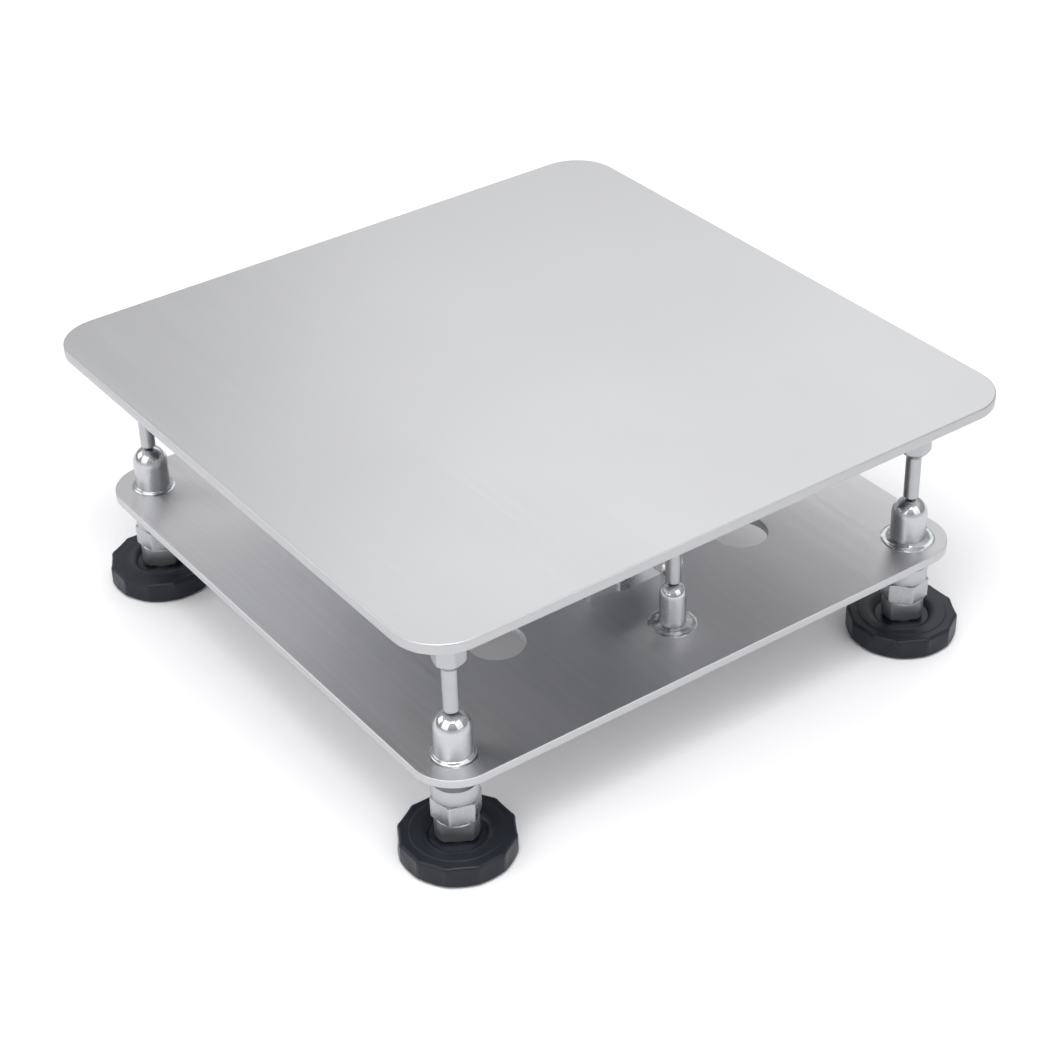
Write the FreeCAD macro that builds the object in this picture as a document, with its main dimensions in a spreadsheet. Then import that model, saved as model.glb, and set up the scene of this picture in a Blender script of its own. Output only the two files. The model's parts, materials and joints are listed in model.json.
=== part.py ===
"""Low bench weighing scale: a square stainless platter on one beam load cell over a base plate
that stands on four screw feet.

The row frame has its origin on the floor under the middle of the scale, with +Z up. -Y is the
front, so +X is to the right of someone who stands in front of it. All sizes are in millimetres.
"""
import FreeCAD, Part
import math
import os
import re
import Sketcher

# Driving dimensions, as spreadsheet alias, value and meaning.
SIZES = (
    ("platter_side", 305.0, "side of the square platter"),
    ("platter_thick", 5.0, "thickness of the platter"),
    ("platter_corner", 22.0, "corner radius of the platter"),
    ("platter_rim", 0.6, "chamfer round the platter's rim"),
    ("total_height", 128.0, "floor to the top of the platter"),
    ("base_side", 283.0, "side of the square base plate"),
    ("base_thick", 4.0, "thickness of the base plate"),
    ("base_corner", 20.0, "corner radius of the base plate"),
    ("base_rim", 0.4, "chamfer round the base plate's rim"),
    ("base_top", 50.4, "floor to the upper face of the base plate"),
    ("drain_bore", 12.5, "radius of each drain hole in the base plate"),
    ("drain_x", 67.3, "drain hole offset along X"),
    ("drain_y", 74.0, "drain hole offset along Y"),
    ("post_offset", 123.2, "corner post and foot offset along X and Y"),
    ("mid_offset", 109.0, "middle post offset along Y"),
    ("post_flats", 12.6, "across flats of a stop post's hexagon"),
    ("post_hex_long", 27.0, "length of a stop post's hexagon"),
    ("post_cone", 2.6, "height of the cone below the hexagon"),
    ("post_rod", 3.4, "radius of a stop post's rod"),
    ("stop_gap", 0.8, "gap between a rod and the dome below it"),
    ("stud_radius", 3.0, "radius of the threaded stud inside a post"),
    ("stud_long", 12.0, "length of the stud"),
    ("thread_play", 0.05, "radial play in every modelled thread"),
    ("dome_top", 71.6, "floor to the top of every dome"),
    ("dome_radius", 8.0, "radius of a corner dome"),
    ("dome_bore_top", 64.6, "floor to the shoulder of the dome's blind bore"),
    ("mid_radius", 5.85, "radius of a middle dome"),
    ("weld_radius", 12.0, "outer radius of a corner weld"),
    ("mid_weld_radius", 10.6, "outer radius of a middle weld"),
    ("weld_height", 2.4, "height of a weld against its dome"),
    ("weld_edge", 0.3, "height of a weld at its outer edge"),
    ("stem_radius", 6.0, "radius of the foot's thread"),
    ("stem_top", 59.5, "floor to the top of the foot's thread"),
    ("neck_radius", 9.35, "radius of the foot's wrench neck"),
    ("neck_top", 20.0, "floor to the top of the neck"),
    ("neck_low", 9.5, "floor to the underside of the neck"),
    ("neck_flats", 13.4, "across the neck's two wrench flats"),
    ("neck_shoulder", 1.2, "height of round neck left above the flats"),
    ("pivot_radius", 6.0, "radius of the pivot below the neck"),
    ("head_radius", 8.0, "radius of the pivot's retained head"),
    ("head_low", 3.4, "floor to the underside of the head"),
    ("head_top", 6.0, "floor to the top of the head"),
    ("pivot_play", 0.3, "play of the pivot in the pad"),
    ("pad_radius", 25.0, "radius of a foot pad over its lands"),
    ("pad_low", 0.5, "floor to the underside of a pad"),
    ("pad_top", 10.8, "floor to the top of a pad's raised disc"),
    ("pad_edge", 1.4, "rounding of the pad's upper edge"),
    ("pad_step_radius", 19.6, "radius of the raised disc on the pad"),
    ("pad_step", 0.4, "height of that disc above the rim"),
    ("pad_mouth_radius", 16.2, "radius where the disc rounds down into the hub recess"),
    ("pad_bowl", 5.0, "rounding of the recess's mouth"),
    ("pad_hub_radius", 12.1, "radius of the hub recess"),
    ("pad_hub_low", 8.4, "floor to the bottom of the hub recess"),
    ("pad_flat_depth", 0.95, "how far a grip flat cuts into the pad's rim"),
    ("sole_radius", 22.0, "radius of the rubber sole"),
    ("sole_thick", 1.8, "thickness of the rubber sole"),
    ("nut_flats", 19.0, "across flats of the lock nut"),
    ("nut_height", 10.0, "height of the lock nut"),
    ("collar_radius", 10.0, "radius of the lock collar"),
    ("collar_height", 7.8, "height of the lock collar"),
    ("collar_edge", 0.5, "chamfer of the collar's upper edge"),
    ("cell_width", 30.0, "load cell along X"),
    ("cell_long", 182.0, "load cell along Y"),
    ("cell_height", 38.0, "load cell along Z"),
    ("cell_edge", 0.8, "chamfer of the load cell's long edges"),
    ("spacer_height", 12.0, "spacer between base plate and load cell"),
    ("spacer_width", 40.0, "both spacers along X"),
    ("spacer_long", 42.0, "both spacers along Y"),
    ("spacer_middle", 55.0, "middle of each spacer along Y"),
    ("eye_radius", 11.0, "radius of the load cell's two sensing bores"),
    ("eye_offset", 17.0, "sensing bore offset along Y"),
    ("eye_slot", 7.0, "height of the slot that joins the two bores"),
    ("cover_thick", 1.2, "thickness of a load cell cover"),
    ("cover_long", 70.0, "length of a load cell cover"),
    ("cover_height", 30.0, "height of a load cell cover"),
    ("gauge_long", 7.0, "strain gauge along X"),
    ("gauge_wide", 4.0, "strain gauge along Y"),
    ("gauge_thick", 0.2, "thickness of a strain gauge"),
    ("screw_radius", 4.0, "radius of the load cell screws"),
    ("screw_hole", 4.5, "radius of their clearance holes"),
    ("screw_x", 8.0, "screw offset along X"),
    ("screw_pitch", 22.0, "distance between screws along Y"),
    ("screw_bite", 12.0, "thread engagement of each screw"),
    ("head_width", 6.5, "radius of a screw's head"),
    ("head_height", 8.0, "height of a screw's head"),
    ("socket_flats", 6.0, "across flats of a screw's socket"),
    ("socket_deep", 4.0, "depth of a screw's socket"),
    ("washer_radius", 8.0, "outer radius of a washer"),
    ("washer_thick", 1.6, "thickness of a washer"),
    ("gland_x", 6.5, "cable gland offset along X"),
    ("gland_z", 10.8, "cable gland above the load cell's underside"),
    ("gland_flats", 11.0, "across flats of the gland body"),
    ("gland_flange", 3.0, "length of the gland body's hexagon"),
    ("gland_thread", 4.0, "radius of the gland's thread"),
    ("gland_bite", 8.0, "length of the gland's thread in the cell"),
    ("gland_nut_long", 8.0, "length of the gland nut"),
    ("gland_nut_radius", 5.8, "radius of the gland nut"),
    ("seal_radius", 3.5, "outer radius of the gland's rubber seal"),
    ("cable_bore", 2.2, "radius of the seal's cable bore"),
    ("seal_long", 6.0, "length of the seal"),
)

CORNERS = (
    ("front_left", -1, -1),
    ("front_right", 1, -1),
    ("rear_left", -1, 1),
    ("rear_right", 1, 1),
)
MIDDLES = (("front_middle", -1), ("rear_middle", 1))
GRIP_FLATS = 12
NUT_TURNS = {"lock_nut_front_right": 9.0}
POST_TURN = 15.0
NECK_TURN = 58.0

document = FreeCAD.newDocument("bench_scale")
dims = document.addObject("Spreadsheet::Sheet", "dims")
for row, (alias, value, meaning) in enumerate(SIZES, start=1):
    dims.set(f"A{row}", meaning)
    dims.set(f"B{row}", str(value))
    dims.setAlias(f"B{row}", alias)
document.recompute()

ALIASES = {alias for alias, _, _ in SIZES}
nodes = []


def bound(rule):
    """The rule with each alias written as dims.alias, for setExpression."""
    return re.sub(r"[a-z]\w*", lambda m: f"dims.{m[0]}" if m[0] in ALIASES else m[0], rule)


def size(rule):
    """The number that a rule gives now."""
    return float(dims.evalExpression(bound(rule)))


def bind(thing, **rules):
    """Binds properties to rules. A double underscore in a name stands for a dot."""
    for name, rule in rules.items():
        thing.setExpression(name.replace("__", "."), bound(rule))


def place(thing, x="0", y="0", z="0", turn=None, axis=(0, 0, 1)):
    """Places a sub-part: its origin by rules, and its turn in degrees about an axis."""
    if turn is not None:
        rotation = FreeCAD.Rotation(FreeCAD.Vector(*axis), turn)
        thing.Placement = FreeCAD.Placement(FreeCAD.Vector(), rotation)
    bind(thing, Placement__Base__x=x, Placement__Base__y=y, Placement__Base__z=z)


def sub_part(name):
    """A PartDesign body whose label names its file."""
    body = document.addObject("PartDesign::Body", name)
    body.Label = name
    nodes.append(body)
    return body


def plane(body, role):
    """One of the body's own origin planes."""
    for feature in body.Origin.OriginFeatures:
        if feature.Role == role:
            return feature
    raise ValueError(role)


def new_sketch(body, name, role, lift="0"):
    sketch = body.newObject("Sketcher::SketchObject", f"{body.Label}_{name}")
    sketch.AttachmentSupport = [(plane(body, role), "")]
    sketch.MapMode = "FlatFace"
    bind(sketch, AttachmentOffset__Base__z=lift)
    return sketch


def hold(sketch, geometry, end, across, along, tag):
    """Fixes one end of a sketch edge at a place given by two rules."""
    for kind, axis, rule in (("DistanceX", -2, across), ("DistanceY", -1, along)):
        if rule == "0":
            sketch.addConstraint(Sketcher.Constraint("PointOnObject", geometry, end, axis))
            continue
        limit = Sketcher.Constraint(kind, -1, 1, geometry, end, size(rule))
        index = sketch.addConstraint(limit)
        sketch.renameConstraint(index, f"{tag}_{kind[-1]}")
        bind(sketch, **{f"Constraints__{tag}_{kind[-1]}": rule})


def outline(sketch, corners, arcs=()):
    """A closed outline through corners given by rules. arcs maps an edge's number to its radius
    rule, negative where the edge turns clockwise. Each corner is fixed by two constraints."""
    arcs = dict(arcs)
    ends = [FreeCAD.Vector(size(a), size(b), 0) for a, b in corners]
    edges = []
    for i, start in enumerate(ends):
        stop = ends[(i + 1) % len(ends)]
        if i not in arcs:
            index = sketch.addGeometry(Part.LineSegment(start, stop), False)
            edges.append((index, 1, 2))
            continue
        radius = size(arcs[i])
        half = (stop - start) * 0.5
        rise = math.sqrt(radius * radius - half.Length * half.Length)
        side = FreeCAD.Vector(-half.y, half.x, 0).normalize() * rise
        centre = start + half + (side if radius > 0 else side * -1)
        first, last = (start, stop) if radius > 0 else (stop, start)
        angles = [math.atan2(p.y - centre.y, p.x - centre.x) for p in (first, last)]
        circle = Part.Circle(centre, FreeCAD.Vector(0, 0, 1), abs(radius))
        index = sketch.addGeometry(Part.ArcOfCircle(circle, *angles), False)
        edges.append((index, 1, 2) if radius > 0 else (index, 2, 1))
        count = sketch.addConstraint(Sketcher.Constraint("Radius", index, abs(radius)))
        sketch.renameConstraint(count, f"bend_{i}")
        bind(sketch, **{f"Constraints__bend_{i}": f"abs({arcs[i]})"})
    for i, (index, begin, finish) in enumerate(edges):
        following, start_of_next, _ = edges[(i + 1) % len(edges)]
        joint = Sketcher.Constraint("Coincident", index, finish, following, start_of_next)
        sketch.addConstraint(joint)
        hold(sketch, index, begin, *corners[i], f"p{i}")


def ring(sketch, radius, x="0", y="0", tag="ring"):
    """A circle whose radius and centre are bound."""
    centre = FreeCAD.Vector(size(x), size(y), 0)
    circle = Part.Circle(centre, FreeCAD.Vector(0, 0, 1), size(radius))
    index = sketch.addGeometry(circle, False)
    count = sketch.addConstraint(Sketcher.Constraint("Radius", index, size(radius)))
    sketch.renameConstraint(count, f"{tag}_radius")
    bind(sketch, **{f"Constraints__{tag}_radius": radius})
    hold(sketch, index, 3, x, y, tag)


def rectangle(x_half, y_half):
    """The corners of a rectangle about the origin, as rules."""
    return (
        (f"0 - ( {x_half} )", f"0 - ( {y_half} )"),
        (x_half, f"0 - ( {y_half} )"),
        (x_half, y_half),
        (f"0 - ( {x_half} )", y_half),
    )


def hexagon(flats):
    """The corners of a hexagon about the origin, as rules, with two corners on the first axis."""
    point = f"( {flats} ) / sqrt(3)"
    half = f"( {flats} ) / 2"
    return (
        (point, "0"),
        (f"{point} / 2", half),
        (f"0 - {point} / 2", half),
        (f"0 - {point}", "0"),
        (f"0 - {point} / 2", f"0 - {half}"),
        (f"{point} / 2", f"0 - {half}"),
    )


def pad(body, sketch, length, name):
    feature = body.newObject("PartDesign::Pad", f"{body.Label}_{name}")
    feature.Profile = sketch
    bind(feature, Length=length)
    document.recompute()
    return feature


def cut(body, sketch, length, name, reverse=False, through=False):
    """A pocket that has to take material away."""
    before = body.Shape.Volume
    feature = body.newObject("PartDesign::Pocket", f"{body.Label}_{name}")
    feature.Profile = sketch
    feature.Reversed = reverse
    if through:
        feature.Type = "ThroughAll"
    else:
        bind(feature, Length=length)
    document.recompute()
    if body.Shape.Volume >= before - 1e-6:
        raise RuntimeError(f"{body.Label}: {name} cuts nothing")
    return feature


def turned(body, sketch, name, groove=False):
    """A solid of revolution about the sketch's upright axis, added or taken away."""
    before = body.Shape.Volume if groove else 0.0
    kind = "PartDesign::Groove" if groove else "PartDesign::Revolution"
    feature = body.newObject(kind, f"{body.Label}_{name}")
    feature.Profile = sketch
    feature.ReferenceAxis = (sketch, ["V_Axis"])
    feature.Angle = 360.0
    document.recompute()
    if groove and body.Shape.Volume >= before - 1e-6:
        raise RuntimeError(f"{body.Label}: {name} cuts nothing")
    return feature


def edges_where(shape, test):
    """The names of the edges whose middle passes a test."""
    found = []
    for i, edge in enumerate(shape.Edges, start=1):
        middle = edge.valueAt((edge.FirstParameter + edge.LastParameter) / 2)
        if test(edge, middle):
            found.append(f"Edge{i}")
    return found


def dress(body, kind, feature, names, rule, label):
    """A fillet or a chamfer on named edges, with its size bound."""
    result = body.newObject(f"PartDesign::{kind}", f"{body.Label}_{label}")
    result.Base = (feature, names)
    bind(result, **{"Radius" if kind == "Fillet" else "Size": rule})
    document.recompute()
    return result


def pattern(body, original, count, name):
    """Repeats a feature round the body's upright axis."""
    feature = body.newObject("PartDesign::PolarPattern", f"{body.Label}_{name}")
    feature.Originals = [original]
    axes = [a for a in body.Origin.OriginFeatures if a.Role == "Z_Axis"]
    feature.Axis = (axes[0], [""])
    feature.Angle = 360.0
    feature.Occurrences = count
    body.Tip = feature
    document.recompute()
    return feature


def plate(name, side, thick, corner, rim, low, holes):
    """A square plate with round corners, a chamfered rim and round holes."""
    body = sub_part(name)
    place(body, z=low)
    flat = new_sketch(body, "outline", "XY_Plane")
    outline(flat, rectangle(f"{side} / 2", f"{side} / 2"))
    blank = pad(body, flat, thick, "blank")
    upright = edges_where(blank.Shape, lambda e, m: abs(m.z - size(thick) / 2) < 0.01)
    rounded = dress(body, "Fillet", blank, upright, corner, "corners")
    outer = edges_where(
        rounded.Shape, lambda e, m: min(m.z, size(thick) - m.z) < 0.01
    )
    dress(body, "Chamfer", rounded, outer, rim, "rim")
    if holes:
        drilled = new_sketch(body, "holes", "XY_Plane")
        for i, (x, y, radius) in enumerate(holes):
            ring(drilled, radius, x, y, f"hole{i}")
        cut(body, drilled, thick, "drilled", reverse=True, through=True)
    return body


def signed(sign, rule):
    """A rule or its negative."""
    return rule if sign > 0 else f"0 - ( {rule} )"


def chamfer_ring(body, name, flats, edge_height, slope_height, outward, mirror):
    """Turns the corners off one end of a hexagon bar, as on a nut."""
    sketch = new_sketch(body, name, "XZ_Plane")
    inner = f"{flats} / 2 - 0.05"
    outer = f"{flats} / 2 + {outward}"
    outline(
        sketch,
        (
            (inner, edge_height),
            (outer, slope_height),
            (outer, f"{edge_height} + {mirror}"),
            (inner, f"{edge_height} + {mirror}"),
        ),
    )
    return turned(body, sketch, f"{name}_turned", groove=True)


def stop_post(name, x, y):
    """A hexagon sleeve screwed on a stud, drawn down to a rod whose end faces a dome."""
    body = sub_part(name)
    rod_low = "dome_top + stop_gap"
    under = "total_height - platter_thick"
    place(body, x, y, rod_low, turn=POST_TURN)
    tall = f"{under} - {rod_low}".replace(rod_low, f"( {rod_low} )")
    hex_low = f"{tall} - post_hex_long"
    bar = new_sketch(body, "hexagon", "XY_Plane", hex_low)
    outline(bar, hexagon("post_flats"))
    pad(body, bar, "post_hex_long", "bar")
    chamfer_ring(body, "lower_edge", "post_flats", f"{hex_low} + 0.5", f"{hex_low} + 1.4",
                 "1.6", "-2")
    rod = new_sketch(body, "rod", "XZ_Plane")
    cone_low = f"{hex_low} - post_cone"
    outline(
        rod,
        (
            ("0", "0"),
            ("post_rod - 0.4", "0"),
            ("post_rod", "0.4"),
            ("post_rod", cone_low),
            ("post_flats / 2 - 0.3", hex_low),
            ("0", hex_low),
        ),
    )
    turned(body, rod, "rod_turned")
    bore = new_sketch(body, "thread", "XZ_Plane")
    outline(
        bore,
        (
            ("0", tall),
            ("stud_radius + thread_play", tall),
            ("stud_radius + thread_play", f"{tall} - stud_long - 2"),
            ("0", f"{tall} - stud_long - 3.5"),
        ),
    )
    turned(body, bore, "thread_bored", groove=True)


def corner_dome(name, x, y):
    """A bullet-shaped blind nut, welded on the base plate, that the foot screws into."""
    body = sub_part(name)
    place(body, x, y, "base_top")
    tall = "( dome_top - base_top )"
    bore = "stem_radius + thread_play"
    shoulder = "( dome_bore_top - base_top )"
    sketch = new_sketch(body, "section", "XZ_Plane")
    corners = (
        (bore, "0"),
        ("dome_radius", "0"),
        ("dome_radius", f"{tall} - dome_radius"),
        ("0", tall),
        ("0", f"{shoulder} + 3"),
        (bore, shoulder),
    )
    outline(sketch, corners, {2: "dome_radius"})
    turned(body, sketch, "shell")


def middle_dome(name, y):
    """A solid bullet-shaped stop, welded on the base plate."""
    body = sub_part(name)
    place(body, "0", y, "base_top")
    tall = "( dome_top - base_top )"
    sketch = new_sketch(body, "section", "XZ_Plane")
    corners = (
        ("0", "0"),
        ("mid_radius", "0"),
        ("mid_radius", f"{tall} - mid_radius"),
        ("0", tall),
    )
    outline(sketch, corners, {2: "mid_radius"})
    turned(body, sketch, "solid")


def foot_stem(name, x, y):
    """The foot's screw: a thread, a neck with two wrench flats and a head kept in the pad."""
    body = sub_part(name)
    place(body, x, y, turn=NECK_TURN)
    sketch = new_sketch(body, "section", "XZ_Plane")
    outline(
        sketch,
        (
            ("0", "head_low"),
            ("head_radius - 0.8", "head_low"),
            ("head_radius", "head_low + 0.8"),
            ("head_radius", "head_top"),
            ("pivot_radius", "head_top"),
            ("pivot_radius", "neck_low"),
            ("neck_radius - 0.6", "neck_low"),
            ("neck_radius", "neck_low + 0.6"),
            ("neck_radius", "neck_top - 0.5"),
            ("neck_radius - 0.5", "neck_top"),
            ("stem_radius", "neck_top"),
            ("stem_radius", "stem_top - 1"),
            ("stem_radius - 1", "stem_top"),
            ("0", "stem_top"),
        ),
    )
    turned(body, sketch, "screw")
    flats = new_sketch(body, "flats", "XY_Plane", "neck_low - 0.5")
    edge = "neck_flats / 2"
    reach = "neck_radius + 2"
    for sign in (1, -1):
        side = flats if sign > 0 else new_sketch(body, "flats_far", "XY_Plane", "neck_low - 0.5")
        corners = (
            (signed(sign, edge), f"0 - ( {reach} )"),
            (signed(sign, reach), f"0 - ( {reach} )"),
            (signed(sign, reach), reach),
            (signed(sign, edge), reach),
        )
        outline(side, corners)
        depth = "neck_top - neck_shoulder - neck_low + 0.5"
        cut(body, side, depth, "near_flat" if sign > 0 else "far_flat", reverse=True)


def foot_pad(name, x, y):
    """The round pad of a foot, with grip flats round its rim and a stepped top."""
    body = sub_part(name)
    place(body, x, y)
    sketch = new_sketch(body, "section", "XZ_Plane")
    socket = "head_radius + pivot_play"
    throat = "pivot_radius + pivot_play"
    corners = (
        ("0", "sole_thick"),
        ("sole_radius + 0.2", "sole_thick"),
        ("sole_radius + 0.2", "pad_low"),
        ("pad_radius - 0.8", "pad_low"),
        ("pad_radius", "pad_low + 0.8"),
        ("pad_radius", "pad_top - pad_step - pad_edge"),
        ("pad_radius - pad_edge", "pad_top - pad_step"),
        ("pad_step_radius + 0.4", "pad_top - pad_step"),
        ("pad_step_radius", "pad_top"),
        ("pad_mouth_radius", "pad_top"),
        ("pad_hub_radius", "pad_hub_low"),
        (throat, "pad_hub_low"),
        (throat, "head_top + pivot_play"),
        (socket, "head_top + pivot_play"),
        (socket, "head_low - pivot_play"),
        ("0", "head_low - pivot_play"),
    )
    outline(sketch, corners, {5: "pad_edge", 9: "pad_bowl"})
    turned(body, sketch, "moulding")
    grip = new_sketch(body, "grip", "XY_Plane", "pad_low - 0.5")
    half = "pad_radius * 0.212"
    near = "pad_radius - pad_flat_depth"
    bow = "pad_radius * 2.4"
    corners = (
        (near + " + 0.17", f"0 - ( {half} )"),
        ("pad_radius + 2", f"0 - ( {half} )"),
        ("pad_radius + 2", half),
        (near + " + 0.17", half),
    )
    outline(grip, corners, {3: f"0 - ( {bow} )"})
    flat = cut(body, grip, "pad_top + 1", "grip_flat", reverse=True)
    pattern(body, flat, GRIP_FLATS, "grip_flats")


def foot_sole(name, x, y):
    """The rubber disc let into the underside of a pad, with a shallow tread groove."""
    body = sub_part(name)
    place(body, x, y)
    sketch = new_sketch(body, "section", "XZ_Plane")
    corners = (
        ("0", "0"),
        ("sole_radius * 0.5", "0"),
        ("sole_radius * 0.5 + 0.6", "0.6"),
        ("sole_radius * 0.5 + 2", "0.6"),
        ("sole_radius * 0.5 + 2.6", "0"),
        ("sole_radius - 0.5", "0"),
        ("sole_radius", "0.5"),
        ("sole_radius", "sole_thick"),
        ("0", "sole_thick"),
    )
    outline(sketch, corners)
    turned(body, sketch, "disc")


def lock_collar(name, x, y):
    """The plain round collar that the lock nut pushes up against the base plate."""
    body = sub_part(name)
    place(body, x, y, "neck_top + nut_height")
    sketch = new_sketch(body, "section", "XZ_Plane")
    bore = "stem_radius + thread_play"
    corners = (
        (bore, "0"),
        ("collar_radius", "0"),
        ("collar_radius", "collar_height - collar_edge"),
        ("collar_radius - collar_edge", "collar_height"),
        (bore + " + 0.4", "collar_height"),
        (bore, "collar_height - 0.4"),
    )
    outline(sketch, corners)
    turned(body, sketch, "collar")


def lock_nut(name, x, y):
    """A plain hexagon nut, chamfered on both faces."""
    body = sub_part(name)
    place(body, x, y, "neck_top", turn=NUT_TURNS.get(name, 41.0))
    flat = new_sketch(body, "hexagon", "XY_Plane")
    outline(flat, hexagon("nut_flats"))
    pad(body, flat, "nut_height", "bar")
    slope = "0.68"
    chamfer_ring(body, "upper_edge", "nut_flats", "nut_height", f"nut_height - {slope}",
                 "1.6", "1")
    chamfer_ring(body, "lower_edge", "nut_flats", "0", slope, "1.6", "-1")
    bore = new_sketch(body, "bore", "XZ_Plane")
    hole = "stem_radius + thread_play"
    corners = (
        ("0", "0"),
        (hole + " + 0.6", "0"),
        (hole, "0.6"),
        (hole, "nut_height - 0.6"),
        (hole + " + 0.6", "nut_height"),
        ("0", "nut_height"),
    )
    outline(bore, corners)
    turned(body, bore, "bored", groove=True)


def load_cell():
    """The beam load cell: a bar with two joined sensing bores and threaded ends."""
    body = sub_part("load_cell")
    place(body, z="base_top + spacer_height")
    flat = new_sketch(body, "plan", "XY_Plane")
    outline(flat, rectangle("cell_width / 2", "cell_long / 2"))
    bar = pad(body, flat, "cell_height", "bar")
    along = edges_where(
        bar.Shape, lambda e, m: abs(m.y) < 0.01 or abs(m.z - size("cell_height / 2")) < 0.01
    )
    dress(body, "Chamfer", bar, along, "cell_edge", "edges")
    middle = "cell_height / 2"
    eyes = new_sketch(body, "eyes", "YZ_Plane", "0 - cell_width")
    for i, sign in enumerate((-1, 1)):
        ring(eyes, "eye_radius", signed(sign, "eye_offset"), middle, f"eye{i}")
    cut(body, eyes, "cell_width * 2", "eyes_bored", reverse=True)
    slot = new_sketch(body, "slot", "YZ_Plane", "0 - cell_width")
    low, high = f"{middle} - eye_slot / 2", f"{middle} + eye_slot / 2"
    left, right = "0 - eye_offset", "eye_offset"
    outline(slot, ((left, low), (right, low), (right, high), (left, high)))
    cut(body, slot, "cell_width * 2", "slotted", reverse=True)
    threads = new_sketch(body, "threads", "XY_Plane")
    for i, (x, y) in enumerate(screw_places(-1)):
        ring(threads, "screw_radius + thread_play", x, y, f"thread{i}")
    cut(body, threads, "screw_bite + 3", "threaded", reverse=True)
    through = new_sketch(body, "through", "XY_Plane")
    for i, (x, y) in enumerate(screw_places(1)):
        ring(through, "screw_hole", x, y, f"through{i}")
    cut(body, through, "cell_height", "drilled", reverse=True, through=True)
    inlet = new_sketch(body, "inlet", "XZ_Plane", "cell_long / 2")
    ring(inlet, "gland_thread + thread_play", "gland_x", "gland_z", "inlet")
    cut(body, inlet, "gland_bite + 1", "inlet_bored")


def screw_places(end):
    """The four screws of one end of the load cell, as rules. end is -1 at the front."""
    places = []
    for across in (-1, 1):
        for along in (-1, 1):
            sign = "+" if along > 0 else "-"
            y = f"spacer_middle {sign} screw_pitch / 2"
            places.append((signed(across, "screw_x"), signed(end, y)))
    return places


def spacer(name, end, low, height, hole, depth):
    """A square block between the load cell and one of the plates, with four holes."""
    body = sub_part(name)
    place(body, "0", signed(end, "spacer_middle"), low)
    flat = new_sketch(body, "plan", "XY_Plane")
    outline(flat, rectangle("spacer_width / 2", "spacer_long / 2"))
    block = pad(body, flat, height, "block")
    upright = edges_where(block.Shape, lambda e, m: abs(m.z - size(height) / 2) < 0.01)
    dress(body, "Chamfer", block, upright, "1.5", "edges")
    drilled = new_sketch(body, "holes", "XY_Plane")
    spots = [(a, b) for a in (-1, 1) for b in (-1, 1)]
    for i, (a, b) in enumerate(spots):
        ring(drilled, hole, signed(a, "screw_x"), signed(b, "screw_pitch / 2"), f"hole{i}")
    cut(body, drilled, depth, "drilled", reverse=True)


def cell_cover(name, sign):
    """A thin plate with round ends, welded over the sensing bores."""
    body = sub_part(name)
    lift = "base_top + spacer_height + cell_height / 2"
    place(body, signed(sign, "cell_width / 2") + ("" if sign > 0 else " - cover_thick"), "0", lift)
    sketch = new_sketch(body, "plan", "YZ_Plane")
    outline(sketch, rectangle("cover_long / 2", "cover_height / 2"))
    blank = pad(body, sketch, "cover_thick", "blank")
    ends = edges_where(blank.Shape, lambda e, m: abs(m.x - size("cover_thick") / 2) < 0.01)
    rounded = dress(body, "Fillet", blank, ends, "cover_height / 2 - 1", "ends")
    outer_x = size("cover_thick") if sign > 0 else 0.0
    rim = edges_where(rounded.Shape, lambda e, m: abs(m.x - outer_x) < 0.01)
    dress(body, "Chamfer", rounded, rim, "0.3", "rim")


def primitive(kind, name, **rules):
    thing = document.addObject(f"Part::{kind}", name)
    bind(thing, **rules)
    return thing


def boolean(kind, name, first, second):
    thing = document.addObject(f"Part::{kind}", name)
    thing.Base = first
    thing.Tool = second
    return thing


def group(name, members):
    """One node that holds several separate solids."""
    thing = document.addObject("Part::Compound", name)
    thing.Label = name
    thing.Links = members
    nodes.append(thing)


def cap_screw(name, length, x, y, low):
    """A socket head screw that points up, with the underside of its head at low."""
    shank = primitive("Cylinder", f"{name}_shank", Radius="screw_radius", Height=f"{length} + 1")
    place(shank, x, y, f"{low} - 1")
    head = primitive("Cylinder", f"{name}_head", Radius="head_width", Height="head_height")
    place(head, x, y, f"{low} - head_height")
    blank = boolean("Fuse", f"{name}_blank", head, shank)
    socket = primitive("Prism", f"{name}_socket", Circumradius="socket_flats / sqrt(3)",
                       Height="socket_deep + 1")
    socket.Polygon = 6
    place(socket, x, y, f"{low} - head_height - 1")
    return boolean("Cut", name, blank, socket)


def washer(name, x, y, low):
    disc = primitive("Cylinder", f"{name}_disc", Radius="washer_radius", Height="washer_thick")
    place(disc, x, y, low)
    hole = primitive("Cylinder", f"{name}_hole", Radius="screw_hole", Height="washer_thick + 2")
    place(hole, x, y, f"{low} - 1")
    return boolean("Cut", name, disc, hole)


def stud(name, x, y):
    """A threaded stud welded under the platter, with a chamfered free end."""
    under = "total_height - platter_thick"
    shank = primitive("Cylinder", f"{name}_shank", Radius="stud_radius", Height="stud_long - 0.8")
    place(shank, x, y, f"{under} - stud_long + 0.8")
    tip = primitive("Cone", f"{name}_tip", Radius1="stud_radius - 0.8", Radius2="stud_radius",
                    Height="0.8")
    place(tip, x, y, f"{under} - stud_long")
    return boolean("Fuse", name, shank, tip)


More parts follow.
